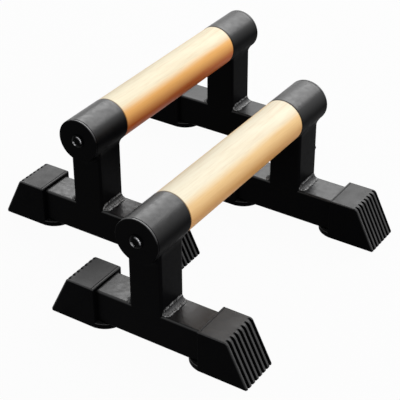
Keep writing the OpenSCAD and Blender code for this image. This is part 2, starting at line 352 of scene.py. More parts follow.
def cut_and_joined(mesh, cutter, addition):
    """The mesh with the cutter's space taken out of it and the addition joined on."""
    scene_objects = bpy.context.scene.collection.objects
    parts = [bpy.data.objects.new("part", m) for m in (mesh, cutter, addition)]
    for part in parts:
        scene_objects.link(part)
    for part, operation in zip(parts[1:], ("DIFFERENCE", "UNION")):
        modifier = parts[0].modifiers.new(operation, "BOOLEAN")
        modifier.operation = operation
        modifier.object = part
        modifier.solver = "EXACT"
    graph = bpy.context.evaluated_depsgraph_get()
    result = bpy.data.meshes.new_from_object(parts[0].evaluated_get(graph))
    for part in parts:
        bpy.data.objects.remove(part)
    return result


def bar_ends():
    """Each end of each bar: its name, its body and the matrix that takes a shape drawn for a bar in the
    middle, at its rear end, to that place."""
    for side in SIDES:
        low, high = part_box(f"{side}_grip")
        middle = (low + high) / 2
        for end, way in ENDS:
            place = Matrix.Translation((middle.x, middle.y, 0)) @ Matrix.Diagonal((1, way, 1, 1))
            yield f"{side}_{end}", f"{side}_bar", place


def arc(middle_x, middle_y, radius, start, stop, count):
    """Points of an arc and the way each faces, for angles in degrees from start to stop."""
    angle = np.radians(np.linspace(start, stop, count))
    facing = np.stack([np.cos(angle), np.sin(angle)], axis=-1)
    return np.array([middle_x, middle_y]) + radius * facing, facing


def rounded_corner(corner, radius, start, stop, count):
    """The arc of that radius in an outline's corner between two straight edges that face start and stop
    degrees. Its middle lies back from the corner by radius times the sum of both facings over 1 plus their
    product."""
    first, last = (np.array([math.cos(math.radians(a)), math.sin(math.radians(a))]) for a in (start, stop))
    middle = np.array(corner) - (first + last) * radius / (1 + first @ last)
    return arc(*middle, radius, start, stop, count)


def rounded_box(low, high, radius):
    """Outline of a rectangle with round corners, anticlockwise, as points of two coordinates."""
    corners = [(high[0], low[1], -90), (high[0], high[1], 0), (low[0], high[1], 90), (low[0], low[1], 180)]
    return np.concatenate([rounded_corner((x, y), radius, a, a + 90, 6)[0] for x, y, a in corners])


def add(tree, kind, settings, inputs):
    """Adds a node of that kind, with its settings and with its inputs set to values or linked to other
    sockets."""
    made = tree.nodes.new(kind)
    for name, value in settings.items():
        setattr(made, name, value)
    for name, value in inputs.items():
        if isinstance(value, bpy.types.NodeSocket):
            tree.links.new(value, made.inputs[name])
        else:
            made.inputs[name].default_value = value
    return made


def new_material(name):
    """A new material whose nodes are still to be added, and its tree."""
    material = bpy.data.materials.new(name)
    material.use_nodes = True
    material.node_tree.nodes.clear()
    return material, material.node_tree


def per(millimetres):
    """Scale of a noise whose features are about that wide."""
    return 1000 / millimetres


def gloss_by_facing(tree, dry, glossy, start, full):
    """Index of refraction that rises from the dry one of upright faces to the glossy one of faces that look
    up, where the upward part of the way they face goes from start to full. On faces that look down it falls
    to 0.6 times as far above 1 as the dry one."""
    geometry = add(tree, "ShaderNodeNewGeometry", {}, {})
    facing = add(tree, "ShaderNodeSeparateXYZ", {}, {"Vector": geometry.outputs["True Normal"]}).outputs["Z"]
    below = add(
        tree, "ShaderNodeMapRange", EASED,
        {"Value": facing, "From Min": -0.4, "From Max": 0, "To Min": 1 + 0.6 * (dry - 1), "To Max": dry},
    ).outputs["Result"]
    return add(
        tree, "ShaderNodeMapRange", EASED,
        {"Value": facing, "From Min": start, "From Max": full, "To Min": below, "To Max": glossy},
    ).outputs["Result"]


def powder_coat(settings):
    """Polyester powder baked on steel: a deep black satin that is very finely pebbled, so that its
    reflections are soft-edged and a little mottled. It is sprayed from above, so it flows out on faces that
    look up and stays dry and matt on upright ones, and it turns pale grey where a piece carries a painted
    highlight.
    Pebbles are 1.2 mm wide, and the slow unevenness of the film 5 mm."""
    material, tree = new_material("satin_black_powder_coat")
    place = add(tree, "ShaderNodeTexCoord", {}, {}).outputs["Object"]
    pebbles = add(tree, "ShaderNodeTexNoise", {}, {"Vector": place, "Scale": per(1.2), "Detail": 2.0})
    film = add(tree, "ShaderNodeTexNoise", {}, {"Vector": place, "Scale": per(5), "Detail": 4.0})
    rough = add(
        tree, "ShaderNodeMapRange", {},
        {
            "Value": film.outputs["Fac"],
            "From Min": 0.3,
            "From Max": 0.7,
            "To Min": settings.coat_roughness - 0.07,
            "To Max": settings.coat_roughness + 0.07,
        },
    )
    # Where a piece carries a painted highlight, as the discs' rims do, the coat is mixed towards pale grey
    rubbed_and_highlit = add(tree, "ShaderNodeAttribute", {"attribute_name": RUBBED_AND_HIGHLIT}, {}).outputs["Fac"]
    black = add(
        tree, "ShaderNodeMix", COLOURS,
        {MIX_AMOUNT: rubbed_and_highlit, MIX_FIRST: settings.coat_colour, MIX_SECOND: settings.coat_highlight_colour},
    )
    relief = add(
        tree, "ShaderNodeBump", {}, {"Height": pebbles.outputs["Fac"], "Strength": 0.25, "Distance": 0.00012}
    )
    coat = add(
        tree, "ShaderNodeBsdfPrincipled", {},
        {
            "Base Color": black.outputs[MIX_RESULT],
            "Roughness": rough.outputs["Result"],
            "IOR": gloss_by_facing(tree, settings.coat_dryness, settings.coat_gloss, *COAT_FACING),
            "Normal": relief.outputs["Normal"],
        },
    )
    add(tree, "ShaderNodeOutputMaterial", {}, {"Surface": coat.outputs["BSDF"]})
    return material


def moulded_rubber(settings):
    """Moulded black rubber: matt, a shade greyer than the coat, with the faint grain of a spark-eroded mould.
    The grain is 0.9 mm wide, three times the real one, so that it shows, and the slow unevenness of the bloom
    14 mm."""
    material, tree = new_material("moulded_black_rubber")
    place = add(tree, "ShaderNodeTexCoord", {}, {}).outputs["Object"]
    grain = add(tree, "ShaderNodeTexNoise", {}, {"Vector": place, "Scale": per(0.9), "Detail": 2.0})
    bloom = add(tree, "ShaderNodeTexNoise", {}, {"Vector": place, "Scale": per(14), "Detail": 4.0})
    rough = add(
        tree, "ShaderNodeMapRange", {},
        {
            "Value": bloom.outputs["Fac"],
            "From Min": 0.3,
            "From Max": 0.7,
            "To Min": settings.roughness - 0.06,
            "To Max": settings.roughness + 0.06,
        },
    )
    relief = add(
        tree, "ShaderNodeBump", {}, {"Height": grain.outputs["Fac"], "Strength": 0.3, "Distance": 0.00015}
    )
    rubber = add(
        tree, "ShaderNodeBsdfPrincipled", {},
        {
            "Base Color": settings.rubber_colour,
            "Roughness": rough.outputs["Result"],
            "IOR": gloss_by_facing(tree, settings.dullness, settings.gloss, *RUBBER_FACING),
            "Normal": relief.outputs["Normal"],
        },
    )
    add(tree, "ShaderNodeOutputMaterial", {}, {"Surface": rubber.outputs["BSDF"]})
    return material


def turned_beech(settings, name, woods, middle, radius, shoulder):
    """Turned beech, sanded and oiled satin. Its colour is painted from a pale highlight on top, through the
    beech's own colour at the side, to a warm painted shade below. Soft cloudy streaks along the grain are 7
    mm wide and 120 mm long, and its fine grain 1.2 mm.
    A brown line of painted shade lies along its shoulders, where it meets the collars, 1 mm wide, at that
    distance from its middle."""
    pale, mid, deep = woods
    material, tree = new_material(name)
    place = add(tree, "ShaderNodeTexCoord", {}, {}).outputs["Object"]
    centred = add(
        tree, "ShaderNodeMapping", {}, {"Vector": place, "Location": (-middle.x, -middle.y, -middle.z)}
    ).outputs["Vector"]
    along = add(tree, "ShaderNodeMapping", {}, {"Vector": centred, "Scale": (1, 0.06, 1)}).outputs["Vector"]
    clouds = add(
        tree, "ShaderNodeTexNoise", {}, {"Vector": along, "Scale": per(7), "Detail": 3.0, "Distortion": 0.4}
    ).outputs["Fac"]
    fine = add(
        tree, "ShaderNodeTexNoise", {}, {"Vector": along, "Scale": per(1.2), "Detail": 2.0}
    ).outputs["Fac"]
    # The height on the grip, from -1 at the bottom to 1 at the top, wavers with the clouds and sets the
    # painted highlight and painted shade
    tilted = add(
        tree, "ShaderNodeMapping", {},
        {"Vector": centred, "Rotation": (0, math.radians(-HIGHLIGHT_LEAN), 0), "Scale": (1 / radius,) * 3},
    )
    height = add(tree, "ShaderNodeSeparateXYZ", {}, {"Vector": tilted.outputs["Vector"]}).outputs["Z"]
    wavering = add(
        tree, "ShaderNodeMath", {"operation": "MULTIPLY_ADD"}, {0: clouds, 1: 0.22, 2: height}
    ).outputs["Value"]
    # Painted highlight towards the top and painted shade towards the bottom
    painted_highlight = add(tree, "ShaderNodeMapRange", EASED, {"Value": wavering, "From Min": 0.66, "From Max": 1.02})
    painted_shade = add(
        tree, "ShaderNodeMapRange", EASED, {"Value": wavering, "From Max": 0.8, "To Min": 1, "To Max": 0}
    )
    upper = add(
        tree, "ShaderNodeMix", COLOURS, {MIX_AMOUNT: painted_highlight.outputs["Result"], MIX_FIRST: mid, MIX_SECOND: pale}
    )
    wood = add(
        tree, "ShaderNodeMix", COLOURS,
        {MIX_AMOUNT: painted_shade.outputs["Result"], MIX_FIRST: upper.outputs[MIX_RESULT], MIX_SECOND: deep},
    )
    streaked = add(
        tree, "ShaderNodeMapRange", EASED,
        {"Value": clouds, "From Min": 0.45, "From Max": 0.72, "To Max": 0.17},
    )
    grained = add(
        tree, "ShaderNodeMapRange", EASED, {"Value": fine, "From Min": 0.4, "From Max": 0.75, "To Max": 0.1}
    )
    amount = add(
        tree, "ShaderNodeMath", {"operation": "ADD"},
        {0: streaked.outputs["Result"], 1: grained.outputs["Result"]},
    )
    grain = add(
        tree, "ShaderNodeMix", COLOURS,
        {
            MIX_AMOUNT: amount.outputs["Value"],
            MIX_FIRST: wood.outputs[MIX_RESULT],
            MIX_SECOND: settings.streak_colour,
        },
    )
    place_along = add(tree, "ShaderNodeSeparateXYZ", {}, {"Vector": centred}).outputs["Y"]
    from_middle = add(tree, "ShaderNodeMath", {"operation": "ABSOLUTE"}, {0: place_along})
    # Painted shade in a thin line at the grip's shoulders, where it meets the collars
    at_shoulder = add(
        tree, "ShaderNodeMapRange", EASED,
        {
            "Value": from_middle.outputs["Value"],
            "From Min": shoulder - 0.0016,
            "From Max": shoulder - 0.0005,
            "To Max": 0.75,
        },
    )
    joint_shaded = add(
        tree, "ShaderNodeMix", COLOURS,
        {
            MIX_AMOUNT: at_shoulder.outputs["Result"],
            MIX_FIRST: grain.outputs[MIX_RESULT],
            MIX_SECOND: settings.joint_shade_colour,
        },
    )
    relief = add(tree, "ShaderNodeBump", {}, {"Height": fine, "Strength": 0.15, "Distance": 0.0001})
    oiled = add(
        tree, "ShaderNodeBsdfPrincipled", {},
        {
            "Base Color": joint_shaded.outputs[MIX_RESULT],
            "Roughness": settings.roughness,
            "Specular IOR Level": 0.15,
            "Normal": relief.outputs["Normal"],
        },
    )
    add(tree, "ShaderNodeOutputMaterial", {}, {"Surface": oiled.outputs["BSDF"]})
    return material


def coated_weld(settings):
    """MIG weld bead under a thin film of powder coat: blotchy, a little greyer than the tubes, with pale
    spots along its toes and at its ends that are painted highlight as well as film scuffed through. Blotches
    are 1.6 mm wide."""
    material, tree = new_material("thinly_coated_weld")
    place = add(tree, "ShaderNodeTexCoord", {}, {}).outputs["Object"]
    blotches = add(
        tree, "ShaderNodeTexNoise", {}, {"Vector": place, "Scale": per(1.6), "Detail": 3.0}
    ).outputs["Fac"]
    patchy = add(
        tree, "ShaderNodeMapRange", EASED, {"Value": blotches, "From Min": 0.42, "From Max": 0.62}
    ).outputs["Result"]
    # Pale spots along the toes and at the ends: painted highlight as well as wear
    rubbed_and_highlit = add(tree, "ShaderNodeAttribute", {"attribute_name": RUBBED_AND_HIGHLIT}, {})
    pale = add(tree, "ShaderNodeMath", {"operation": "MULTIPLY"}, {0: patchy, 1: rubbed_and_highlit.outputs["Fac"]})
    grey = add(
        tree, "ShaderNodeMix", COLOURS,
        {MIX_AMOUNT: patchy, MIX_FIRST: settings.coat_colour, MIX_SECOND: settings.weld_colour},
    )
    spotted = add(
        tree, "ShaderNodeMix", COLOURS,
        {
            MIX_AMOUNT: pale.outputs["Value"],
            MIX_FIRST: grey.outputs[MIX_RESULT],
            MIX_SECOND: settings.weld_highlight_and_wear_colour,
        },
    )
    relief = add(tree, "ShaderNodeBump", {}, {"Height": blotches, "Strength": 0.5, "Distance": 0.0003})
    film = add(
        tree, "ShaderNodeBsdfPrincipled", {},
        {
            "Base Color": spotted.outputs[MIX_RESULT],
            "Roughness": 0.42,
            "IOR": gloss_by_facing(tree, settings.coat_dryness, settings.coat_gloss, *COAT_FACING),
            "Normal": relief.outputs["Normal"],
        },
    )
    add(tree, "ShaderNodeOutputMaterial", {}, {"Surface": film.outputs["BSDF"]})
    return material


def black_oxide(settings):
    """Black-oxide steel under oil: a thin dark film, with uncoated bright steel in patches where a piece
    carries painted glints. The patches are 1 mm wide."""
    material, tree = new_material("oiled_black_oxide_steel")
    place = add(tree, "ShaderNodeTexCoord", {}, {}).outputs["Object"]
    patches = add(
        tree, "ShaderNodeTexNoise", {}, {"Vector": place, "Scale": per(1), "Detail": 2.0}
    ).outputs["Fac"]
    glint_patches = add(tree, "ShaderNodeMapRange", EASED, {"Value": patches, "From Min": 0.34, "From Max": 0.5})
    # Painted glints: bright metal is put where a piece says its glints fall
    rubbed_and_highlit = add(tree, "ShaderNodeAttribute", {"attribute_name": RUBBED_AND_HIGHLIT}, {})
    worn_and_glinting = add(
        tree, "ShaderNodeMath", {"operation": "MULTIPLY"},
        {0: glint_patches.outputs["Result"], 1: rubbed_and_highlit.outputs["Fac"]},
    ).outputs["Value"]
    film = add(
        tree, "ShaderNodeMix", COLOURS,
        {MIX_AMOUNT: worn_and_glinting, MIX_FIRST: settings.bolt_colour, MIX_SECOND: settings.glint_steel_colour},
    )
    rough = add(
        tree, "ShaderNodeMapRange", EASED,
        {"Value": patches, "From Min": 0.3, "From Max": 0.7, "To Min": 0.2, "To Max": 0.3},
    )
    oiled = add(
        tree, "ShaderNodeBsdfPrincipled", {},
        {
            "Base Color": film.outputs[MIX_RESULT],
            "Metallic": worn_and_glinting,
            "Roughness": rough.outputs["Result"],
            "IOR": 1.08,
        },
    )
    add(tree, "ShaderNodeOutputMaterial", {}, {"Surface": oiled.outputs["BSDF"]})
    return material


def zinc_plate(settings):
    """Bright zinc plate on steel, finely brushed by the tumbler: its roughness wavers over 1.5 mm."""
    material, tree = new_material("zinc_plated_steel")
    place = add(tree, "ShaderNodeTexCoord", {}, {}).outputs["Object"]
    polish = add(tree, "ShaderNodeTexNoise", {}, {"Vector": place, "Scale": per(1.5), "Detail": 3.0})
    rough = add(
        tree, "ShaderNodeMapRange", EASED,
        {"Value": polish.outputs["Fac"], "From Min": 0.3, "From Max": 0.7, "To Min": 0.29, "To Max": 0.41},
    )
    plate = add(
        tree, "ShaderNodeBsdfPrincipled", {},
        {"Base Color": settings.zinc_colour, "Metallic": 1.0, "Roughness": rough.outputs["Result"]},
    )
    add(tree, "ShaderNodeOutputMaterial", {}, {"Surface": plate.outputs["BSDF"]})
    return material


def dress(node, material):
    """Gives a CAD node that is shown as it is a material."""
    shown = frame["nodes"][node]
    shown.data.materials.clear()
    shown.data.materials.append(material)


class PARALLETTE_OT_grips(bpy.types.Operator):
    """Finish the two turned beech grips"""

    bl_idname = "parallette.grips"
    bl_label = "Beech Grips"

    def execute(self, context):
        settings = context.scene.parallette_grip
        shoulder = COLLAR_LOW.y - BAR_MIDDLE.y
        for side in SIDES:
            low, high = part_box(f"{side}_grip")
            middle, radius = (low + high) / 2, (high.x - low.x) / 2
            # Pale, mid and deep: painted highlight on top, the beech's own colour at the side, painted shade
            # below
            woods = [getattr(settings, f"{shade}_{side}") for shade in ("pale", "mid", "deep")]
            beech = turned_beech(settings, f"turned_beech_{side}", woods, middle, radius, shoulder)
            dress(f"{side}_grip", beech)
        return {"FINISHED"}


def upright(settings):
    """Outside of an upright with its ground flare into the collar. The tube's rounded outline is carried up
    from the base tube, over whose rounded edges it reaches down. At each place round it, a cubic curve then
    goes on from straight up to a point on the collar, where it runs along the collar's face. The surface
    closes inside the collar's wall."""
    half = np.array([UPRIGHT_HALF, TUBE_WIDTH / 2])
    ways = {-90: (1, -1), 0: (1, 1), 90: (-1, 1), 180: (-1, -1)}
    arcs = [rounded_corner(half * way, TUBE_CORNER, a, a + 90, 9) for a, way in ways.items()]
    along = np.linspace(0, 1, 26)[1:-1, None]
    loop = [(p, p[-1] + (ahead[0] - p[-1]) * along) for (p, _), (ahead, _) in zip(arcs, arcs[1:] + arcs[:1])]
    facing = [(way, way[-1] + 0 * along) for _, way in arcs]
    loop, facing = (np.concatenate([part for pair in pairs for part in pair]) for pairs in (loop, facing))

    # Where the flare starts and stops: it spreads by the reach of the side that each place faces
    under = np.where(facing[:, 1] > 0, settings.outer_reach, settings.inner_reach)
    reach = settings.side_reach + (under - settings.side_reach) * facing[:, 1] ** 2
    end = loop + facing * reach[:, None]
    sunk = 0.00003
    rise = np.sqrt((COLLAR_RADIUS - sunk) ** 2 - end[:, 0] ** 2)
    start = np.column_stack([loop, AXIS_HEIGHT - rise - settings.flare])
    stop = np.column_stack([end, AXIS_HEIGHT - rise])

    # The flare's curves, which leave upwards and arrive along the collar's face, both with the same pull
    fullness = 1.15
    pull = np.linalg.norm(stop - start, axis=1, keepdims=True) * fullness
    upward = pull * np.array([0, 0, 1])
    away = np.column_stack([facing, facing[:, 0] * end[:, 0] / rise])
    away *= pull / np.linalg.norm(away, axis=1, keepdims=True)
    t = np.linspace(0, 1, 16)[:, None, None]
    flare = (
        (2 * t**3 - 3 * t**2 + 1) * start
        + (t**3 - 2 * t**2 + t) * upward
        + (3 * t**2 - 2 * t**3) * stop
        + (t**3 - t**2) * away
    )

    # The shaft under the flare, whose lowest ring is drawn in a little, and the lid inside the collar's wall
    level = BASE_TOP + np.array([-0.9 * TUBE_CORNER, -0.7 * TUBE_CORNER, 0.02, 0.04])[:, None]
    drawn_in = np.array([0.9925, 1, 1, 1])[:, None]
    shaft = np.stack([loop[:, 0] * drawn_in, loop[:, 1] * drawn_in, level + 0 * loop[:, 0]], axis=-1)
    inward = np.array([0.97, 0.7, 0.4, 0.05])[:, None]
    in_wall = COLLAR_RADIUS - 0.0012
    lid_x, lid_y = end[:, 0] * inward, end[:, 1] * inward
    lid = np.stack([lid_x, lid_y, AXIS_HEIGHT - np.sqrt(in_wall**2 - lid_x**2)], axis=-1)
    return skin(np.concatenate([shaft, flare, lid]) + np.array([0, FRAME_MIDDLE, 0]))


def turned(profile):
    """Closed surface turned about the grip's axis from a closed profile of radii and of places along the
    grip, which runs anticlockwise when the radius is drawn across and the place along the grip upwards.
    Across the axis a point lies at its radius times the sine and the cosine of its angle from the top."""
    radius, along = profile.T
    across, up = radius * np.sin(TURN), radius * np.cos(TURN)
    points = np.stack([across, along + 0 * TURN, AXIS_HEIGHT + up], axis=-1)
    index = np.arange(TURN.size * len(profile)).reshape(TURN.size, len(profile))
    ahead = np.roll(index, -1, axis=0)
    quads = np.stack([index, ahead, np.roll(ahead, -1, axis=1), np.roll(index, -1, axis=1)], axis=-1)
    return points.reshape(-1, 3), quads.reshape(-1, 4).tolist()


def end_disc(settings):
    """Disc that closes a collar, and how much painted highlight it has at each point: a plate round the bolt
    whose rim is as wide as the collar and stands out of it, behind a narrow groove. Its profile is turned
    about the grip's axis. A pale highlight is painted on its rim round its top, most a quarter of the way
    towards the side of the painted glints, and a ring of points keeps that off the flat."""
    plug, rim, hole = PLUG_RADIUS - HAIR, COLLAR_RADIUS - HAIR, settings.hole / 2
    inside, outside = DISC_LOW.y - BAR_MIDDLE.y, DISC_HIGH.y - BAR_MIDDLE.y
    seat = outside - settings.rim + HAIR
    neck, back = rim - settings.gap_depth, seat + settings.gap
    edge, _ = rounded_corner((rim, outside), settings.rim_edge, 0, 90, 6)
    broken, _ = rounded_corner((hole, outside), 0.0002, 90, 180, 3)
    flat, highlight_width = rim - 4 * settings.rim_edge, 1.5 * settings.rim_edge
    profile = np.concatenate([
        [[hole, inside], [plug, inside], [plug, seat], [neck, seat], [neck, back], [rim, back]],
        edge, [[flat, outside]], broken,
    ])
    # The painted rim highlight, strongest near the top
    worn_and_glinting = bump(profile[:, 0], rim, highlight_width) * (profile[:, 1] > seat)
    near_top = np.clip(2 * np.cos(TURN - GLINT_SIDE / 4) - 0.8, 0, 1)
    return turned(profile), (worn_and_glinting * near_top).ravel()


def collar_tube(settings):
    """Collar: a tube with a chamfered inner end and a rounded outer end, on which the disc's rim lies. Its
    profile is turned about the grip's axis."""
    start, stop = COLLAR_LOW.y - BAR_MIDDLE.y, COLLAR_END - settings.rim
    edge, _ = rounded_corner((COLLAR_RADIUS, stop), settings.edge, 0, 90, 5)
    cut = settings.chamfer
    inner_end = [[PLUG_RADIUS, start], [COLLAR_RADIUS - cut, start], [COLLAR_RADIUS, start + cut]]
    return turned(np.concatenate([inner_end, edge, [[PLUG_RADIUS, stop]]]))


class PARALLETTE_OT_frames(bpy.types.Operator):
    """Build the uprights, collars and end discs, and finish them and the base tubes in powder coat"""

    bl_idname = "parallette.frames"
    bl_label = "Steel Frames"

    def execute(self, context):
        coat = powder_coat(context.scene.parallette_steel)
        shaft = mesh_of("upright", upright(context.scene.parallette_upright))
        # The disc's points carry its painted rim highlight
        plate, rubbed_and_highlit = end_disc(context.scene.parallette_collar)
        disc = mesh_of("disc", plate)
        set_rubbed_and_highlit(disc, rubbed_and_highlit)
        tube = mesh_of("collar", collar_tube(context.scene.parallette_collar))
        for where, body, place in bar_ends():
            nodes = (f"{where}_upright", f"{where}_blend")
            piece(f"{where}_flared_upright", placed(shaft, place), coat, body, "powder_coat", *nodes)
            piece(f"{where}_end_disc", placed(disc, place), coat, body, "powder_coat", f"{where}_disc")
            piece(f"{where}_collar_tube", placed(tube, place), coat, body, "powder_coat", f"{where}_collar")
            dress(f"{where}_base", coat)
        return {"FINISHED"}


def bead(settings):
    """Weld bead in the corner between the +X side of the upright and the top of the base tube, and how much
    pale colour, painted highlight as well as wear, it has at each point. A nearly flat face goes from toe to
    toe, swells a little into a lip along both toes, runs along Y, ripples like a row of crescents and draws
    in to nothing at its ends."""
    leg, toe = settings.leg, settings.toe
    run = np.linspace(-1, 1, 110)[:, None]
    over = np.linspace(0, 1, 17)[None, :]
    half_run = TUBE_WIDTH / 2 - TUBE_CORNER * 0.4
    taper = np.sqrt(np.clip(1 - run**8, 0.02, 1))
    wobble = 1 + 0.05 * np.sin(9 * run + 1) + 0.03 * np.sin(23 * run)
    reach = leg * taper * wobble

    # How deep the face lies below the straight line from toe to toe
    bow = np.sin(math.pi * over)
    lip_place, lip_width = 0.12, 0.07
    lips = bump(over, lip_place, lip_width) + bump(over, 1 - lip_place, lip_width)
    crescent = run * half_run + 0.0012 * bow
    ripple = settings.ripple * np.sin(2 * math.pi * crescent / settings.pitch) * bow * taper
    hollow = (0.2 * leg * bow - settings.edge * lips) * taper - ripple

    # That line lies at 45 degrees, so the depth counts by this share along each tube
    slant = 0.7071
    x = reach * (1 - over) + toe * over - hollow * slant
    z = reach * over + toe * (1 - over) - hollow * slant
    face = np.stack([x, np.broadcast_to(run * half_run, x.shape), z], axis=-1)

    # The back of the bead goes round the corner a little inside both tubes
    sunk = np.full_like(reach, -0.0004)
    back_x = np.concatenate([sunk, sunk, reach], axis=1)
    back_y = np.concatenate([run * half_run] * 3, axis=1)
    back_z = np.concatenate([reach, sunk, sunk], axis=1)
    back = np.stack([back_x, back_y, back_z], axis=-1)
    rings = np.concatenate([face, back], axis=1)[:, ::-1] + np.array([UPRIGHT_HALF, FRAME_MIDDLE, BASE_TOP])
    # Pale colour along both toes and at the ends, painted highlight as well as wear
    end_width = 0.09
    rubbed_and_highlit = np.clip(lips + bump(np.abs(run), 1, end_width), 0, 1)
    rubbed_and_highlit = np.concatenate([rubbed_and_highlit, np.zeros_like(back_y)], axis=1)[:, ::-1]
    return skin(rings), rubbed_and_highlit.ravel()


def mirrored(shell):
    """A closed surface mirrored from +X to -X, with its faces turned to suit."""
    points, faces = shell
    return points * (-1, 1, 1), [face[::-1] for face in faces]


class PARALLETTE_OT_welds(bpy.types.Operator):
    """Lay the weld beads at the foot of each upright"""

    bl_idname = "parallette.welds"
    bl_label = "Welds"

    def execute(self, context):
        side_bead, rubbed_and_highlit = bead(context.scene.parallette_weld)
        mesh = mesh_of("weld", side_bead, mirrored(side_bead))
        set_rubbed_and_highlit(mesh, np.tile(rubbed_and_highlit, 2))
        film = coated_weld(context.scene.parallette_steel)
        for where, body, place in bar_ends():
            piece(f"{where}_weld_bead", placed(mesh, place), film, body, "weld_metal", f"{where}_weld")
        return {"FINISHED"}


def foot_places(settings):
    """Places of the foot's toe, brow and cuff along the base tube, from its middle."""
    toe_x = settings.base_length / 2
    brow_x = toe_x - settings.rake
    return toe_x, brow_x, brow_x - settings.flat_top


def foot_columns(settings):
    """Places across the foot at which its side view is drawn: close together on the walls of the grooves and
    on the rounded edges. Also gives how deep the grooves are at each place."""
    span = 2 * FOOT_HALF
    pitch = (span - 2 * settings.edge_rib - settings.groove_width) / (settings.groove_count - 1)
    grooves = (np.arange(settings.groove_count) - (settings.groove_count - 1) / 2) * pitch
    # Half the width over which a groove's wall slopes
    soft = 0.00045
    walls = grooves[:, None] + np.array([-0.5, 0.5]) * settings.groove_width
    steps = (walls[..., None] + soft * np.linspace(-1, 1, 7)).ravel()
    turn = np.sin(np.radians(np.linspace(0, 90, 8)))
    edges = np.concatenate([FOOT_HALF - r + r * turn for r in (settings.edge, settings.cuff)])
    y = np.unique(np.round(np.concatenate([steps, edges, -edges]), 7))
    away = np.abs(y[:, None] - grooves).min(axis=1)
    rise = np.clip((settings.groove_width / 2 + soft - away) / (2 * soft), 0, 1)
    return y, settings.groove_depth * rise**2 * (3 - 2 * rise)


def rounding(y, radius):
    """How far a rounded edge of that radius draws a face back at the place y across the foot."""
    into = np.clip(np.abs(y) - (FOOT_HALF - radius), 0, radius)
    return radius - np.sqrt(np.clip(radius**2 - into**2, 0, None))


def score_line(middle_x, settings):
    """Points of the shallow V that scores a foot's top, and the way that each counts as facing."""
    half = settings.score / 2
    x = middle_x + half * np.array([-1, -0.7, 0, 0.7, 1])
    z = FOOT_HEIGHT - half * np.array([0, 0.5, 1.4, 0.5, 0])
    return np.stack([x, z], axis=-1), np.tile([0.0, 1.0], (5, 1))


def boot(settings):
    """Body of the foot on the +X end of a base tube. Its side view, with a rounded lip, brow and toe, is
    carried across the foot. At each place across, every point is drawn back from the way it faces by the
    rounding there, and then back along X until it lies as far behind the raked face as the groove is deep."""
    toe_x, brow_x, cuff_x = foot_places(settings)
    slope = math.atan2(settings.rake, FOOT_HEIGHT)
    rake = math.degrees(slope)
    rounded = [
        rounded_corner((cuff_x, FOOT_HEIGHT), settings.lip, 180, 90, 7),
        score_line(cuff_x + settings.score_from_lip, settings),
        rounded_corner((brow_x, FOOT_HEIGHT), settings.brow, 90, rake, 10),
        rounded_corner((toe_x, 0), settings.toe, rake, -90, 12),
    ]
    outline = np.concatenate([[[cuff_x, 0]], *[points for points, _ in rounded]])
    facing = np.concatenate([[[-1, -1]], *[way for _, way in rounded]])
    y, groove = foot_columns(settings)
    radii = (settings.edge, settings.tip_corner, settings.cuff)
    edge, tip, cuff = (rounding(y, radius)[:, None] for radius in radii)
    x = outline[:, 0] - tip * np.clip(facing[:, 0], 0, None) + cuff * np.clip(-facing[:, 0], 0, None)
    z = outline[:, 1] - edge * facing[:, 1]
    front = (x - toe_x) + z * math.tan(slope)
    x = x - np.clip(front + groove[:, None] / math.cos(slope), 0, None) * (groove[:, None] > 0)
    return skin(np.stack([x, np.broadcast_to(y[:, None], x.shape) + FRAME_MIDDLE, z], axis=-1))


def tube_socket():
    """Space that the base tube fills in the foot: its rounded outline carried along X."""
    reach = TUBE_WIDTH / 2
    outline = rounded_box((-reach, SOLE), (reach, BASE_TOP), TUBE_CORNER) + np.array([FRAME_MIDDLE, 0])
    ends = [np.column_stack([np.full(len(outline), x), outline]) for x in (TONGUE_TIP, TUBE_END)]
    return skin(np.stack(ends))


def tongue(settings):
    """Half-round tongue of the sole under the base tube: a half circle closed by a short straight run into
    the foot, stacked from the floor to the tube with small roundings at its bottom and top edges."""
    _, _, cuff_x = foot_places(settings)
    middle_x = cuff_x + settings.tongue_depth
    turn = np.radians(np.linspace(0, 90, 6))
    bottom, top = settings.edge, 0.0006
    level = np.concatenate([bottom * (1 - np.cos(turn)), SOLE - top * (1 - np.sin(turn))])
    inset = np.concatenate([bottom * (1 - np.sin(turn)), top * (1 - np.cos(turn))])
    half, _ = arc(0, 0, 1, 90, 270, 40)
    # The half circle stays this far inside the foot's two sides
    hidden = 0.00004
    radius = (FOOT_HALF - hidden - inset)[:, None]
    x = middle_x + np.concatenate([half[:, 0], [0, 0]]) * radius
    x[:, -2:] = middle_x + 2 * settings.cuff
    y = np.concatenate([half[:, 1], [-1, 1]]) * radius + FRAME_MIDDLE
    z = np.broadcast_to(level[:, None], x.shape)
    return skin(np.stack([x, y, z], axis=-1))


class PARALLETTE_OT_feet(bpy.types.Operator):
    """Mould the ribbed rubber feet over the ends of the base tubes"""

    bl_idname = "parallette.feet"
    bl_label = "Rubber Feet"

    def execute(self, context):
        settings = context.scene.parallette_foot
        shapes = {"boot": boot(settings), "socket": tube_socket(), "tongue": tongue(settings)}
        foot = cut_and_joined(*(mesh_of(name, shape) for name, shape in shapes.items()))
        rubber = moulded_rubber(settings)
        for where, body, place in bar_ends():
            for hand, way in (("right", 1), ("left", -1)):
                name = f"{where}_foot_{hand}"
                slack = settings.slack if name.endswith("front_foot_right") else 0
                seat = Matrix.Translation((way * slack, 0, 0)) @ Matrix.Diagonal((way, 1, 1, 1))
                piece(f"{name}_boot", placed(foot, place @ seat), rubber, body, "rubber", name)
        return {"FINISHED"}


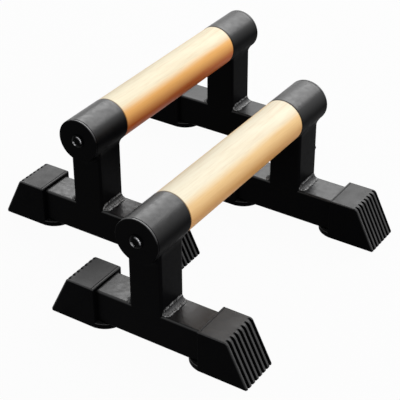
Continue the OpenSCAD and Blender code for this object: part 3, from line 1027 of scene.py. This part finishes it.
def button_bolt(settings):
    """Bolt turned about the grip's axis, and where glints are painted on it. Its profile runs from the
    shank's end over the dome to the socket, where each circle becomes a hexagon: the flats' distance over the
    cosine of the angle from a flat's middle. Painted glints of bright steel lie in an arc on the dome on one
    side, and on the socket's countersunk edge on the other."""
    angle = np.radians(np.arange(0, 360, 3.75))
    from_flat = (angle + math.pi / 6) % (math.pi / 3) - math.pi / 6
    hexagon = settings.socket / 2 / np.cos(from_flat)
    head, shank = settings.head / 2, settings.shank / 2
    dome = settings.head_height - settings.rim
    ball = (head**2 + dome**2) / (2 * dome)
    mouth = 0.7 * settings.socket
    lean = np.linspace(math.asin(head / ball), math.asin(mouth / ball), 12)
    top = settings.head_height
    tail = BOLT_LOW.y - BAR_MIDDLE.y - COLLAR_END
    chamfer, pole, countersink, drill_point = 0.0006, 0.0008, 0.0008, 0.0008
    stops = [(pole, tail), (shank - chamfer, tail), (shank, tail + chamfer), (shank, 0), (head, 0)]
    stops += [(ball * math.sin(a), top - ball + ball * math.cos(a)) for a in lean]
    lip, floor = stops[-1][1], top - settings.socket_depth
    stops += [(hexagon, lip - countersink), (hexagon, floor), (hexagon * 0.1, floor - drill_point)]
    rings = np.stack(
        [np.stack([r * np.sin(angle), h + 0 * angle, r * np.cos(angle)], axis=-1) for r, h in stops]
    )
    out = np.hypot(rings[..., 0], rings[..., 2])
    # Painted glints: an arc on the dome towards the glints' side and the socket's edge opposite
    toward = np.cos(angle - GLINT_SIDE)
    rubbed_and_highlit = bump(out, 0.84 * head, 0.08 * head) * np.clip(3 * toward - 1.8, 0, 1)
    rubbed_and_highlit += bump(out, 0.45 * head, 0.12 * head) * np.clip(-3 * toward - 1.8, 0, 0.8)
    # Nothing at the socket's floor or below it gets a painted glint
    rubbed_and_highlit *= rings[..., 1] > floor + HAIR
    return skin(rings + np.array([0, COLLAR_END, AXIS_HEIGHT])), rubbed_and_highlit.ravel()


class PARALLETTE_OT_bolts(bpy.types.Operator):
    """Turn the button-head bolts and finish the inserts that they screw into"""

    bl_idname = "parallette.bolts"
    bl_label = "Bolts and Inserts"

    def execute(self, context):
        steel = context.scene.parallette_steel
        shape, rubbed_and_highlit = button_bolt(context.scene.parallette_bolt)
        mesh = mesh_of("bolt", shape)
        set_rubbed_and_highlit(mesh, rubbed_and_highlit)
        black, zinc = black_oxide(steel), zinc_plate(steel)
        for where, body, place in bar_ends():
            piece(f"{where}_button_bolt", placed(mesh, place), black, body, "blackened_bolt", f"{where}_bolt")
            dress(f"{where}_insert", zinc)
        return {"FINISHED"}


def background_rays(tree):
    """1 for the rays by which the camera sees a surface, straight, in a gloss or through glass, and 0 for
    light."""
    path = add(tree, "ShaderNodeLightPath", {}, {}).outputs
    mirrored_too = add(
        tree, "ShaderNodeMath", {"operation": "MAXIMUM"}, {0: path["Is Camera Ray"], 1: path["Is Glossy Ray"]}
    )
    return add(
        tree, "ShaderNodeMath", {"operation": "MAXIMUM"},
        {0: mirrored_too.outputs["Value"], 1: path["Is Transmission Ray"]},
    ).outputs["Value"]


def floor_material(settings):
    """Seamless white paper: matt and even, lifted to white where the camera sees it, with its shadows
    kept."""
    material, tree = new_material("white_studio_paper")
    paper = add(tree, "ShaderNodeBsdfDiffuse", {}, {"Color": settings.floor_colour})
    white = add(tree, "ShaderNodeEmission", {}, {"Color": WHITE, "Strength": 1.0})
    lifted = add(
        tree, "ShaderNodeMath", {"operation": "MULTIPLY"}, {0: background_rays(tree), 1: settings.floor_glow}
    )
    mixed = add(
        tree, "ShaderNodeMixShader", {},
        {0: lifted.outputs["Value"], 1: paper.outputs["BSDF"], 2: white.outputs["Emission"]},
    )
    add(tree, "ShaderNodeOutputMaterial", {}, {"Surface": mixed.outputs["Shader"]})
    return material


def softbox(name, direction, distance, size, radiance, target):
    """A rectangular soft light that faces target from that direction. Its power is its brightness times pi
    times its area."""
    lamp = bpy.data.lights.new(name, "AREA")
    lamp.shape = "RECTANGLE"
    lamp.size, lamp.size_y = size
    lamp.energy = radiance * math.pi * size[0] * size[1]
    made = bpy.data.objects.new(name, lamp)
    bpy.context.scene.collection.objects.link(made)
    way = Vector(direction).normalized()
    made.location = target + way * distance
    made.rotation_euler = way.to_track_quat("Z", "Y").to_euler()


WHITE = linear("#ffffff")

# The camera stands where the photograph's own did, found by fitting the bars' outlines
CAMERA_PLACE = Vector((0.60005, -0.91458, 0.72777))
CAMERA_AZIMUTH = 33.08
CAMERA_ELEVATION = 32.65
CAMERA_ROLL = -0.33
CAMERA_LENS = 112.87
CAMERA_SENSOR = 36.0


class PARALLETTE_OT_stage(bpy.types.Operator):
    """Set up the floor, the studio light and the camera"""

    bl_idname = "parallette.stage"
    bl_label = "Stage"

    def execute(self, context):
        scene, settings = context.scene, context.scene.parallette_stage
        scene.view_settings.view_transform = "Standard"
        self.lay_floor(scene, settings)
        self.hang_lamps(settings)
        self.light_room(scene, settings)
        self.aim_camera(scene)
        return {"FINISHED"}

    def lay_floor(self, scene, settings):
        """Lays the paper that the bars stand on, as one large square."""
        reach = 6.0
        mesh = bpy.data.meshes.new("studio_floor")
        corners = [(-reach, -reach, 0), (reach, -reach, 0), (reach, reach, 0), (-reach, reach, 0)]
        mesh.from_pydata(corners, [], [(0, 1, 2, 3)])
        mesh.materials.append(floor_material(settings))
        floor = bpy.data.objects.new("studio_floor", mesh)
        scene.collection.objects.link(floor)

    def hang_lamps(self, settings):
        """Hangs the soft lamps round the bars, each at its distance from their middle."""
        low, high = CAD_BOX
        middle = (low + high) / 2
        softbox("key_strip", (-0.1, 0.72, 0.69), 1.7, (2.3, 0.75), settings.key_radiance, middle)
        softbox("fill_panel", (0.97, -0.12, 0.9), 1.8, (1.2, 1.2), settings.fill_radiance, middle)
        softbox("side_panel", (1, -0.05, 0.16), 1.8, (1.4, 0.5), settings.side_radiance, middle)
        softbox("kicker", (0.34, -0.9, 0.26), 1.8, (0.35, 0.35), settings.kicker_radiance, middle)

    def light_room(self, scene, settings):
        """Gives the room its even light, which is white where the camera sees it."""
        world = bpy.data.worlds.new("studio_room")
        world.use_nodes = True
        tree = world.node_tree
        tree.nodes.clear()
        brightness = add(
            tree, "ShaderNodeMapRange", {},
            {"Value": background_rays(tree), "To Min": settings.room_light, "To Max": 1.0},
        )
        room = add(
            tree, "ShaderNodeBackground", {}, {"Color": WHITE, "Strength": brightness.outputs["Result"]}
        )
        add(tree, "ShaderNodeOutputWorld", {}, {"Surface": room.outputs["Background"]})
        scene.world = world

    def aim_camera(self, scene):
        """Sets the camera in its place and turns it as the photograph's own was."""
        azimuth, elevation = math.radians(CAMERA_AZIMUTH), math.radians(CAMERA_ELEVATION)
        level = math.cos(elevation)
        back = Vector((math.sin(azimuth) * level, -math.cos(azimuth) * level, math.sin(elevation)))
        camera = bpy.data.cameras.new("photo_camera")
        camera.lens = CAMERA_LENS
        camera.sensor_width = CAMERA_SENSOR
        made = bpy.data.objects.new("photo_camera", camera)
        scene.collection.objects.link(made)
        made.location = CAMERA_PLACE
        roll = Quaternion((0, 0, 1), math.radians(CAMERA_ROLL))
        made.rotation_euler = (back.to_track_quat("Z", "Y") @ roll).to_euler()
        scene.camera = made


OPERATORS = (
    PARALLETTE_OT_grips,
    PARALLETTE_OT_frames,
    PARALLETTE_OT_welds,
    PARALLETTE_OT_feet,
    PARALLETTE_OT_bolts,
    PARALLETTE_OT_stage,
)
SETTINGS = {
    "parallette_grip": GripSettings,
    "parallette_steel": SteelSettings,
    "parallette_weld": WeldSettings,
    "parallette_upright": UprightSettings,
    "parallette_collar": CollarSettings,
    "parallette_foot": FootSettings,
    "parallette_bolt": BoltSettings,
    "parallette_stage": StageSettings,
}


class PARALLETTE_PT_panel(bpy.types.Panel):
    """Lists the steps that dress the bars"""

    bl_idname = "PARALLETTE_PT_panel"
    bl_label = "Parallette Bars"
    bl_space_type = "VIEW_3D"
    bl_region_type = "UI"
    bl_category = "Parallettes"

    def draw(self, context):
        for operator in OPERATORS:
            self.layout.operator(operator.bl_idname)


def register():
    """Registers the classes and hangs the settings on the scene."""
    for cls in (*SETTINGS.values(), *OPERATORS, PARALLETTE_PT_panel):
        bpy.utils.register_class(cls)
    for name, group in SETTINGS.items():
        setattr(bpy.types.Scene, name, bpy.props.PointerProperty(type=group))


def unregister():
    """Takes the settings and the classes away again."""
    for name in SETTINGS:
        delattr(bpy.types.Scene, name)
    for cls in reversed((*SETTINGS.values(), *OPERATORS, PARALLETTE_PT_panel)):
        bpy.utils.unregister_class(cls)


def main():
    """Dresses the bars and sets the stage."""
    register()
    bpy.ops.parallette.grips()
    bpy.ops.parallette.frames()
    bpy.ops.parallette.welds()
    bpy.ops.parallette.feet()
    bpy.ops.parallette.bolts()
    bpy.ops.parallette.stage()


if __name__ == "__main__":
    main()
